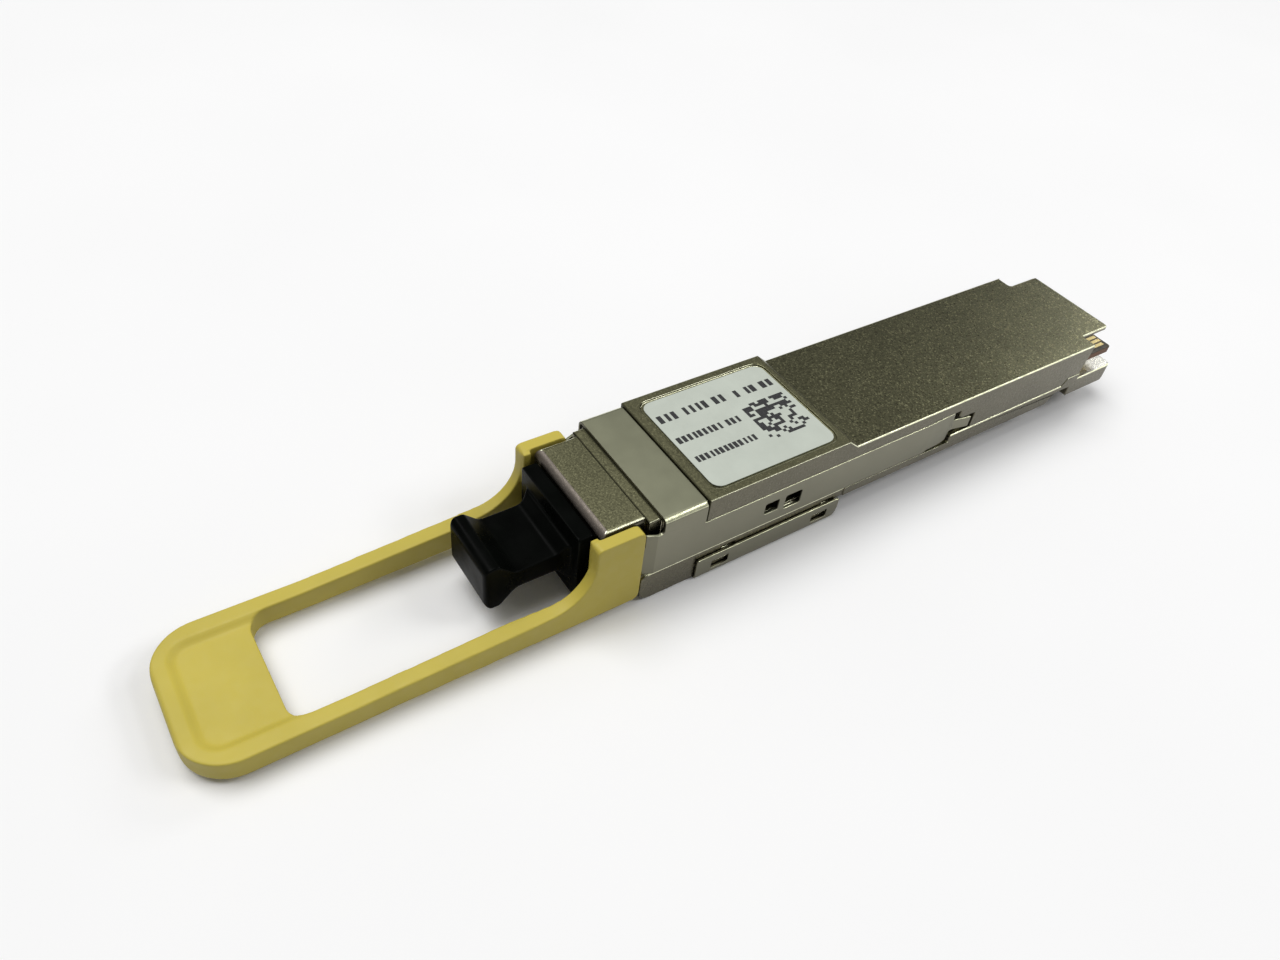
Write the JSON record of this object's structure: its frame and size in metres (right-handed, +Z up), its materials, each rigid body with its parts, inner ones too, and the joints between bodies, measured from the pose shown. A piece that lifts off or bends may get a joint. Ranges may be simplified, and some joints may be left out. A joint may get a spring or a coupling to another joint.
{
  "type": "optical transceiver module",
  "caption": "Pluggable optical transceiver with a card edge at the rear, a multi-fibre port, a dust plug, a sliding latch and a pull tab.",
  "frame": {"origin": "centre of the bounding box in plan, on the underside of the bottom clip", "axes": "+Y along the module towards the card edge, +Z up out of the label face, +X to the right seen from the pull tab"},
  "size_m": [0.0188, 0.131, 0.0128],
  "materials": {
    "shell_casting": null,
    "stamped_sheet": "nickel-plated stamped steel sheet, smooth satin",
    "spring_steel": "bright drawn or turned steel",
    "tab_elastomer": "soft moulded yellow elastomer, matt with a faint sheen",
    "plug_plastic": "black moulded plastic, satin",
    "label_paper": "pale grey-green printed label, matt",
    "board_laminate": "dark solder mask over brown-red laminate, with gold pads",
    "chip_epoxy": "black moulding compound, matt",
    "bare_silicon": "polished silicon die",
    "ferrite": "pressed ferrite, matt",
    "capacitor_ceramic": "tan ceramic, satin",
    "thermal_gel": "soft gap filler, matt",
    "lens_resin": "clear amber moulded resin, glossy",
    "fibre_coating": "aqua ribbon coating, glossy",
    "frame_resin": "black filled resin, satin",
    "gasket_rubber": "conductive elastomer, matt"
  },
  "bodies": {
    "module": {"upper_shell": "shell_casting", "lower_shell": "shell_casting", "bottom_clip": "stamped_sheet", "product_label": "label_paper", "circuit_board": "board_laminate", "capacitor_1": "capacitor_ceramic", "capacitor_2": "capacitor_ceramic", "capacitor_3": "capacitor_ceramic", "capacitor_4": "capacitor_ceramic", "capacitor_5": "capacitor_ceramic", "capacitor_6": "capacitor_ceramic", "clock_crystal": "spring_steel", "detector_array": "bare_silicon", "ferrule": "frame_resin", "ferrule_clamp": "spring_steel", "fibre_ribbon": "fibre_coating", "guide_pin_left": "spring_steel", "guide_pin_right": "spring_steel", "laser_array": "bare_silicon", "laser_driver": "bare_silicon", "lens_block": "lens_resin", "lens_cover": "frame_resin", "microcontroller": "chip_epoxy", "port_gasket": "gasket_rubber", "port_receptacle": "frame_resin", "power_inductor_1": "ferrite", "power_inductor_2": "ferrite", "power_inductor_3": "ferrite", "power_regulator": "chip_epoxy", "receiver_amplifier": "bare_silicon", "return_spring_left": "spring_steel", "return_spring_right": "spring_steel", "shell_screw_left": "spring_steel", "shell_screw_right": "spring_steel", "signal_processor": "chip_epoxy", "thermal_pad": "thermal_gel"},
    "latch": {"latch_slider": "stamped_sheet", "pull_tab": "tab_elastomer"},
    "plug": {"dust_plug": "plug_plastic"}
  },
  "joints": [
    {"name": "latch_slide", "type": "slide", "parent": "module", "child": "latch", "axis": [0, -1, 0], "range_m": [0, 0.0025], "stiffness_N_per_m": 600, "springref_m": -0.0015, "deforming": ["return_spring_left", "return_spring_right"]},
    {"name": "dust_plug_slide", "type": "slide", "parent": "module", "child": "plug", "axis": [0, -1, 0], "range_m": [0, 0.006]}
  ]
}
